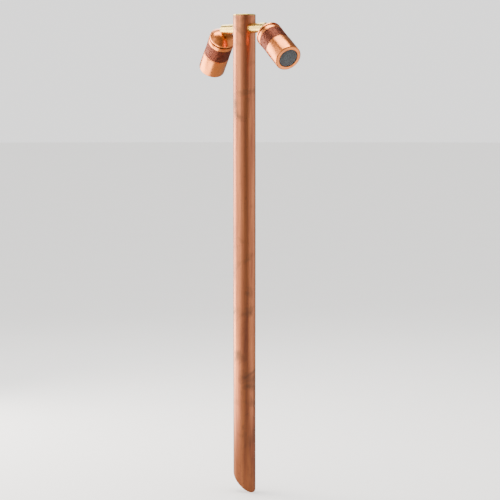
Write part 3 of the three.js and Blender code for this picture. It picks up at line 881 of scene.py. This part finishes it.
class POLELIGHT_OT_fittings(bpy.types.Operator):
    """Makes the cap, the cable bung and the screws that hold the hub"""

    bl_idname = "polelight.fittings"
    bl_label = "Cap, bung and hub screws"

    def execute(self, context):
        look = context.scene.polelight_pole
        brass = turned_brass(context.scene.polelight_arms)
        top = POLE_TOP / MM
        outer = TUBE_RADIUS / MM
        flange, slack = 3.4, 0.3
        under = top - flange
        bore = outer - look.wall / MM - slack
        edge = look.cap_edge / MM
        rise, reach = look.cap_crown / MM, outer - edge
        sphere = (reach * reach + rise * rise) / (2 * rise)
        # The crown stops just short of the edge, so that the rounding has room.
        short, steps = 0.96, 12
        crown = [(r, top - h, 0) for r, h in dome(0, sphere, reach * short, steps)]
        skirt, hollow = under - 10, bore - 3.2
        groove, groove_top, groove_low = bore - 1.6, under - 3.8, under - 6.2
        cap = rounded([
            *crown, (outer, top - rise, edge), (outer, under, 0.2), (bore, under, 0),
            (bore, groove_top, 0), (groove, groove_top, 0), (groove, groove_low, 0),
            (bore, groove_low, 0), (bore, skirt, 0.5), (hollow, skirt, 0.3), (hollow, under, 0),
            (0, under, 0)])
        settled(finished("cap", turned(cap, 192)), brass, "pole", "top_cap")

        low, high = (corner.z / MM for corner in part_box("cable_bung"))
        hole, nose, moat = 4.5, 9, low + 2.5
        bung = rounded([
            (hole, low, 0.8), (nose, low, 1.5), (nose + 2, moat, 1.5), (bore - 3.5, moat, 1),
            (bore - 1.5, low, 0.7), (bore, low, 0.7), (bore, high, 1), (hole, high, 0.8)])
        settled(
            finished("cable_gland_bung", turned(bung, 96)), silicone_rubber(), "pole",
            "cable_bung")

        seat = outer + 0.1
        shank, head, end, crest = 2.1, 4.2, seat - 15, seat + 2.4
        socket, socket_floor = 2.5, seat + 0.9
        for node in HUB_SCREWS:
            shape = rounded([
                (0, end, 0), (shank, end, 0.5), (shank, seat, 0), (head, seat, 0.2), (head, crest, 1.3),
                (0, crest, 0)])
            where = screw_back_place(node)
            screw = finished(f"{node}_head", turned(shape, 64), where)
            shaped(screw, "DIFFERENCE", prism("socket", hexagon(socket), socket_floor, seat + 4, where))
            softened(screw, 0.12)
            polished(screw, where)
            settled(screw, stainless_steel(), "pole", node)
        return {"FINISHED"}


# ---- Arms -------------------------------------------------------------------------------


# Radii, in mm, of the holes in the arm and the lug.
WIRE_BORE, SCREW_BORE, COUNTERBORE, LEAD_BORE = 3.2, 2.8, 4.6, 1.6


def arm_bar(side):
    """Along +Z from the pole's axis: spigot, seal groove, bar, and a fork for the head's lug."""
    where = arm_place(side)
    pivot = (Vector(joint(f"{side}_head_tilt")["pos_m"]) - where.translation).length / MM
    spigot, lock_groove, thick, seal_groove = 7, 5, 11, 9.4
    shoulder, end = 17.3, pivot + 8
    outline = rounded([
        (0, 5, 0), (spigot, 5, 0.8), (spigot, 9, 0), (lock_groove, 9, 0), (lock_groove, 15, 0),
        (spigot, 15, 0), (spigot, shoulder, 0), (thick, shoulder, 0.5), (thick, 18, 0),
        (seal_groove, 18, 0), (seal_groove, 20.2, 0), (thick, 20.2, 0), (thick, end, 1.4), (0, end, 0)])
    arm = finished(f"{side}_arm_bar", turned(outline, 128), where)
    # In the place's own axes +X runs along the pivot screw, and the slot opens on the side of Y
    # that faces down.
    slot_top, slot_foot = 8.3, 13
    down = -1 if (where.to_3x3() @ Vector((0, 1, 0))).z > 0 else 1
    half = 4.7
    walls = [
        (-half, -down * slot_top), (half, -down * slot_top), (half, down * slot_foot),
        (-half, down * slot_foot)]
    slot = prism("slot", walls, pivot - 11, pivot + 12, where)
    screw_way = pivot_place(side)
    blind_end, seat, clear = -8.9, 5.9, 12
    holes = [
        bar("wire_bore", WIRE_BORE, 0, pivot - 10, where, 48),
        bar("screw_hole", SCREW_BORE, blind_end, clear, screw_way, 48),
        bar("counterbore", COUNTERBORE, seat, clear, screw_way, 64),
    ]
    shaped(arm, "DIFFERENCE", slot, *holes)
    polished(arm, where)
    return arm


class POLELIGHT_OT_arms(bpy.types.Operator):
    """Makes the brass arms with their forks, pivot screws and washers"""

    bl_idname = "polelight.arms"
    bl_label = "Arms"

    def execute(self, context):
        brass = turned_brass(context.scene.polelight_arms)
        steel = stainless_steel()
        for side in SIDES:
            body = f"{side}_arm"
            settled(arm_bar(side), brass, body, f"{side}_arm")
            where = pivot_place(side)
            socket, socket_floor = 3.2, 7.6
            shank, head, end, seat, crest = 2.5, 4.2, -8.6, 6.2, 9.9
            shape = rounded([
                (0, end, 0), (shank, end, 0.4), (shank, seat, 0), (head, seat, 0.2), (head, crest, 0.5),
                (0, crest, 0)])
            screw = finished(f"{side}_pivot_cap_screw", turned(shape, 64), where)
            shaped(screw, "DIFFERENCE", prism("socket", hexagon(socket), socket_floor, 12, where))
            polished(screw, where)
            settled(screw, steel, body, f"{side}_pivot_screw")
            for which, sense in (("near", 1), ("far", -1)):
                rim = 7
                low, high = sense * 4.2 - 0.35, sense * 4.2 + 0.35
                washer = rounded([
                    (SCREW_BORE, low, 0.1), (rim, low, 0.15), (rim, high, 0.15),
                    (SCREW_BORE, high, 0.1)], 2)
                made = finished(f"{side}_friction_washer_{which}", turned(washer, 64), where)
                settled(made, steel, body, f"{side}_pivot_washer_{which}")
        return {"FINISHED"}


# ---- Heads ------------------------------------------------------------------------------


def fin_tree():
    """Geometry Nodes: marks how deep one grooved ring lies, then sets copies of it in a row."""
    tree = bpy.data.node_groups.new("fin_stack", "GeometryNodeTree")
    face = tree.interface
    face.new_socket("Geometry", in_out="INPUT", socket_type="NodeSocketGeometry")
    face.new_socket("Grooves", in_out="INPUT", socket_type="NodeSocketInt")
    for name in ("Pitch", "Start", "Crest", "Depth"):
        face.new_socket(name, in_out="INPUT", socket_type="NodeSocketFloat")
    face.new_socket("Material", in_out="INPUT", socket_type="NodeSocketMaterial")
    face.new_socket("Geometry", in_out="OUTPUT", socket_type="NodeSocketGeometry")
    given = add(tree, "NodeGroupInput").outputs
    spot = add(tree, "GeometryNodeInputPosition").outputs[0]
    flat = add(tree, "ShaderNodeVectorMath", [(0, spot), (1, (1.0, 1.0, 0.0))], operation="MULTIPLY")
    radius = add(tree, "ShaderNodeVectorMath", [(0, flat.outputs[0])], operation="LENGTH")
    below = add(tree, "ShaderNodeMath", [
        (0, given["Crest"]), (1, radius.outputs["Value"])], operation="SUBTRACT")
    share = add(tree, "ShaderNodeMath", [(0, below.outputs[0]), (1, given["Depth"])], operation="DIVIDE")
    marked = add(tree, "GeometryNodeStoreNamedAttribute", [
        ("Geometry", given["Geometry"]), ("Name", "groove"), ("Value", share.outputs[0])])
    step = add(tree, "ShaderNodeCombineXYZ", [("Z", given["Pitch"])])
    start = add(tree, "ShaderNodeCombineXYZ", [("Z", given["Start"])])
    line = add(tree, "GeometryNodeMeshLine", [
        ("Count", given["Grooves"]), ("Start Location", start.outputs[0]), ("Offset", step.outputs[0])])
    copies = add(tree, "GeometryNodeInstanceOnPoints", [
        ("Points", line.outputs[0]), ("Instance", marked.outputs[0])])
    real = add(tree, "GeometryNodeRealizeInstances", [("Geometry", copies.outputs[0])])
    dressed = add(tree, "GeometryNodeSetMaterial", [
        ("Geometry", real.outputs[0]), ("Material", given["Material"])])
    add(tree, "NodeGroupOutput", [("Geometry", dressed.outputs[0])])
    return tree


def grown(obj, tree, **inputs):
    """Runs a Geometry Nodes tree on obj with inputs by name, and keeps the plain mesh."""
    nodes = obj.modifiers.new(tree.name, "NODES")
    nodes.node_group = tree
    for item in tree.interface.items_tree:
        if item.in_out == "INPUT" and item.name in inputs:
            nodes[item.identifier] = inputs[item.name]
    return evaluated(obj)


# Heights along a head, in mm forwards from the middle of its seal groove, and radii.
GROOVE_WALL = 1.8
DOME_TIP = -19.4
FIRST_FIN = 12.0
COLLAR, COLLAR_END = 47.6, 59
COWL_BACK, COWL_FRONT = 47.9, 95
LENS_BACK, LENS_FRONT = 91, 94.2
BODY_BORE = 22
CREST_INSET = 0.4


def finned_body(side, look, tree, copper, fin_copper):
    """Smooth band, cooling grooves, then the collar that the cowl screws onto."""
    radius = look.radius / MM
    crest = radius - CREST_INSET
    root = radius - look.groove_depth / MM - CREST_INSET
    pitch, width = look.groove_pitch / MM, look.groove_width / MM
    land = pitch - width
    edge, root_edge = 0.35, 0.45
    # One period of the fins, from the middle of one land to the middle of the next.
    period = rounded([
        (crest, 0, 0), (crest, land / 2, edge), (root, land / 2, root_edge),
        (root, land / 2 + width, root_edge), (crest, land / 2 + width, edge), (crest, pitch, 0)], 3)
    ring = finished(f"{side}_finned_body_shell", turned(period, 128, open_ends=True))
    first = FIRST_FIN - land / 2
    grown(
        ring, tree, Grooves=look.groove_count, Pitch=look.groove_pitch, Start=first * MM,
        Crest=crest * MM, Depth=look.groove_depth, Material=fin_copper)
    last = first + look.groove_count * pitch
    band_end = first - 0.5
    thread = 26.6
    shell = rounded([
        (crest, last, 0), (crest, COLLAR, 0.4), (thread, COLLAR, 0), (thread, COLLAR_END, 0.5),
        (BODY_BORE, COLLAR_END, 0.4), (BODY_BORE, GROOVE_WALL, 0.4), (radius, GROOVE_WALL, 0.25),
        (radius, band_end - CREST_INSET, 0.3), (crest, band_end, 0), (crest, first, 0)], 3)
    bm = turned(shell, 128, open_ends=True)
    fins_from = len(bm.faces)
    bm.from_mesh(ring.data)
    bm.faces.ensure_lookup_table()
    for fin_face in bm.faces[fins_from:]:
        fin_face.material_index = 1
    bmesh.ops.remove_doubles(bm, verts=bm.verts, dist=WELD)
    bmesh.ops.recalc_face_normals(bm, faces=bm.faces)
    bpy.data.objects.remove(ring)
    body = finished(f"{side}_finned_shell", bm, head_place(side))
    body.data.materials.append(copper)
    body.data.materials.append(fin_copper)
    return body


def rear_dome(side, copper, lug_shade_copper):
    """Domed cap, with a lug of unpolished copper that sits in the arm's fork; the lug's darker brown is
    painted shade under the arm.
    """
    where = head_place(side)
    sphere, wall = 38, 4.0
    rim, socket, bore, socket_end = 30, 21.6, 18, 9.5
    outside = dome(DOME_TIP, sphere, 24.6, 28)
    inside = dome(DOME_TIP + wall, sphere, bore, 16)
    outline = rounded([
        *[(r, h, 0) for r, h in outside], (29.2, -6.8, 2.4), (rim, -5, 1.0), (rim, -GROOVE_WALL, 0.25),
        (socket, -GROOVE_WALL, 0), (socket, socket_end, 0.6), (bore, socket_end, 0.4),
        *[(r, h, 0) for r, h in reversed(inside)]])
    cap = finished(f"{side}_rear_dome", turned(outline, 128), where)
    pivot = Vector(joint(f"{side}_head_tilt")["pos_m"])
    back = (where.translation - pivot).length / MM
    eye, half, steps = 8, 3.7, 24
    angles = [math.pi + math.pi * k / steps for k in range(steps + 1)]
    arch = [(-back + eye * math.sin(a), eye * math.cos(a)) for a in angles]
    foot = DOME_TIP + 2.5
    # The lug's own axes: +Z along the pivot, +X forwards along the head.
    across = Vector(joint(f"{side}_head_tilt")["axis"])
    forward = where.to_3x3() @ Vector((0, 0, 1))
    lug_place = place(where.translation, across, forward)
    lug = prism("lug", [(foot, eye), *[(x, -y) for x, y in arch], (foot, -eye)], -half, half, lug_place)
    softened(lug, 0.6, 3)
    cap.data.materials.append(copper)
    lug.data.materials.append(lug_shade_copper)
    shaped(cap, "UNION", lug)
    aside = Vector((0, lead_side(lug_place) * 5 * MM, 0))
    lead = Matrix.Translation(lug_place.to_3x3() @ aside) @ where
    screw_hole = bar("screw_hole", SCREW_BORE, -eye, eye, place(pivot, across), 48)
    lead_hole = bar("lead_hole", LEAD_BORE, -back - 9, DOME_TIP + wall + 2, lead, 32)
    shaped(cap, "DIFFERENCE", screw_hole, lead_hole)
    polished(cap, where)
    return cap


def lead_side(lug_place):
    """The lead's hole passes over the pivot screw."""
    return 1 if (lug_place.to_3x3() @ Vector((0, 1, 0))).z > 0 else -1


class POLELIGHT_OT_heads(bpy.types.Operator):
    """Makes the copper heads: dome, seal, finned body and front cowl"""

    bl_idname = "polelight.heads"
    bl_label = "Heads"

    def execute(self, context):
        look = context.scene.polelight_heads
        copper = turned_copper(look)
        fin_copper = finned_copper(look)
        # The lug's dull, darker brown copper is painted shade, for the shadow under the arm's fork.
        lug_shade_copper = turned_metal(
            "lug_copper_painted_shade", linear("#8F7440"), linear("#5C4527"), 0.5, look.tool_pitch)
        tree = fin_tree()
        radius = look.radius / MM
        for side in SIDES:
            body = f"{side}_head"
            where = head_place(side)
            settled(rear_dome(side, copper, lug_shade_copper), None, body, f"{side}_rear_cap")
            fins = finned_body(side, look, tree, copper, fin_copper)
            settled(fins, None, body, f"{side}_finned_body")
            socket, socket_end, chamber = 27, 60.5, 26.2
            ledge, ledge_back, ledge_front = 19.8, 86.8, 90
            outline = rounded([
                (socket, COWL_BACK, 0.2), (radius, COWL_BACK, 0.4), (radius, COWL_FRONT, 2.0),
                (BODY_BORE, COWL_FRONT, 0.5), (BODY_BORE, ledge_front, 0), (ledge, ledge_front, 0.2),
                (ledge, ledge_back, 0.2), (chamber, ledge_back, 0), (chamber, socket_end, 0),
                (socket, socket_end, 0)], 6)
            cowl = finished(f"{side}_cowl", turned(outline, 160), where)
            settled(cowl, copper, body, f"{side}_front_cowl")
            inner, outer, half = 21.8, 27.2, 1.6
            outline = rounded([
                (inner, -half, 0), (outer, -half, 1), (outer, half, 1), (inner, half, 0)], 6)
            seal = finished(f"{side}_groove_seal", turned(outline, 128), where)
            settled(seal, silicone_rubber(), body, f"{side}_body_seal")
        return {"FINISHED"}


# ---- Lens and lamp ----------------------------------------------------------------------


def lamp_cup(facets, steps=9):
    """A glass cup with a mirror of flat facets inside."""
    front, rim, neck, neck_radius, hole, glass = 86.2, 25.2, 54.4, 8.6, 5.4, 1.4
    cup_end = front - 2.6
    shares = [i / steps for i in range(steps + 1)]
    reach, depth = rim - 1 - neck_radius, cup_end - neck
    outside = [(neck_radius + reach * t, neck + depth * t * t) for t in shares]
    inside = [(r - glass, h + glass) for r, h in outside]
    outline = [
        (hole, neck), *outside, (rim, cup_end), (rim, front), (rim - 1 - glass, front), *reversed(inside),
        (hole, neck + glass)]
    bm = turned(outline, facets)
    mirror_rows = {round(h * MM, 6) for _, h in inside}
    for face in bm.faces:
        face.smooth = not all(round(v.co.z, 6) in mirror_rows for v in face.verts)
    return bm


class POLELIGHT_OT_lamps(bpy.types.Operator):
    """Makes the lenses, their seals and the lamps behind them"""

    bl_idname = "polelight.lamps"
    bl_label = "Lenses and lamps"

    def execute(self, context):
        look = context.scene.polelight_lamps
        glass = toughened_glass("toughened_lens_glass", look.glass, 0.03)
        quartz = toughened_glass("quartz_glass", linear("#E8ECEC"), 0.02)
        mirror = mirror_coating(look)
        for side in SIDES:
            body = f"{side}_head"
            where = head_place(side)
            rim = 21.3
            outline = rounded([
                (0, LENS_BACK, 0), (rim, LENS_BACK, 0.4), (rim, LENS_FRONT, 0.5), (0, LENS_FRONT, 0)], 4)
            lens = finished(f"{side}_lens_disc", turned(outline, 160), where)
            settled(lens, glass, body, f"{side}_lens")
            # The seal is an L in section: a flat under the lens, and a lip round its rim.
            inner, lip, outer = 20, 21.4, 21.85
            back, flat, front = 90.15, 90.85, 94.1
            outline = rounded([
                (inner, back, 0.1), (outer, back, 0), (outer, front, 0.15), (lip, front, 0.15),
                (lip, flat, 0), (inner, flat, 0.1)], 2)
            seal = finished(f"{side}_lens_bead", turned(outline, 160), where)
            settled(seal, silicone_rubber(), body, f"{side}_lens_seal")
            cup = finished(f"{side}_lamp_cup", lamp_cup(look.facets), where, sharp=8)
            settled(cup, mirror, body, f"{side}_lamp_reflector")
            pinch, belly, back, front = 3.2, 4.4, 54.6, 70.4
            outline = rounded([
                (0, back, 0), (pinch, back, 0.4), (pinch, 59, 1.5), (belly, 60.5, 1), (belly, 66, 0),
                (belly, front, 4.3), (0, front, 0)], 8)
            bulb = finished(f"{side}_lamp_bulb", turned(outline, 48), where)
            settled(bulb, quartz, body, f"{side}_lamp_capsule")
        return {"FINISHED"}


# ---- Pieces inside, which keep their CAD shape --------------------------------------------


class POLELIGHT_OT_inside(bpy.types.Operator):
    """Dresses the pieces inside the pole and the heads, which keep their CAD shape"""

    bl_idname = "polelight.inside"
    bl_label = "Inside pieces"

    def execute(self, context):
        brass = turned_metal("hub_brass", linear("#E5CB8B"), linear("#BF9C58"), 0.34, 0.0005, 0.6)
        finishes = {"arm_hub": brass, "cap_seal": silicone_rubber()}
        for side in SIDES:
            finishes[f"{side}_lock_screw"] = stainless_steel()
            finishes[f"{side}_arm_seal"] = silicone_rubber()
            finishes[f"{side}_lamp_base"] = steatite()
            finishes[f"{side}_lamp_holder"] = steatite()
        for node, material in finishes.items():
            mesh = frame["nodes"][node].data
            mesh.materials.clear()
            mesh.materials.append(material)
        return {"FINISHED"}


# ---- Panel and running ------------------------------------------------------------------

OPERATORS = (
    POLELIGHT_OT_stage,
    POLELIGHT_OT_pole,
    POLELIGHT_OT_fittings,
    POLELIGHT_OT_arms,
    POLELIGHT_OT_heads,
    POLELIGHT_OT_lamps,
    POLELIGHT_OT_inside,
)
LOOKS = {
    "polelight_pole": PoleLook,
    "polelight_arms": ArmLook,
    "polelight_heads": HeadLook,
    "polelight_lamps": LampLook,
    "polelight_stage": StageLook,
}


class POLELIGHT_PT_panel(bpy.types.Panel):
    """Lists the steps that build the pole light, and its sizes and colours"""

    bl_idname = "POLELIGHT_PT_panel"
    bl_label = "Pole light"
    bl_space_type = "VIEW_3D"
    bl_region_type = "UI"
    bl_category = "Pole light"

    def draw(self, context):
        for operator in OPERATORS:
            self.layout.operator(operator.bl_idname)
        for name, look in LOOKS.items():
            box = self.layout.box()
            for key in look.__annotations__:
                box.prop(getattr(context.scene, name), key)


def register():
    for cls in (*LOOKS.values(), *OPERATORS, POLELIGHT_PT_panel):
        bpy.utils.register_class(cls)
    for name, look in LOOKS.items():
        setattr(bpy.types.Scene, name, PointerProperty(type=look))


def unregister():
    for name in LOOKS:
        delattr(bpy.types.Scene, name)
    for cls in reversed((*LOOKS.values(), *OPERATORS, POLELIGHT_PT_panel)):
        bpy.utils.unregister_class(cls)


def main():
    register()
    for operator in OPERATORS:
        group, name = operator.bl_idname.split(".")
        getattr(getattr(bpy.ops, group), name)()


if __name__ == "__main__":
    main()
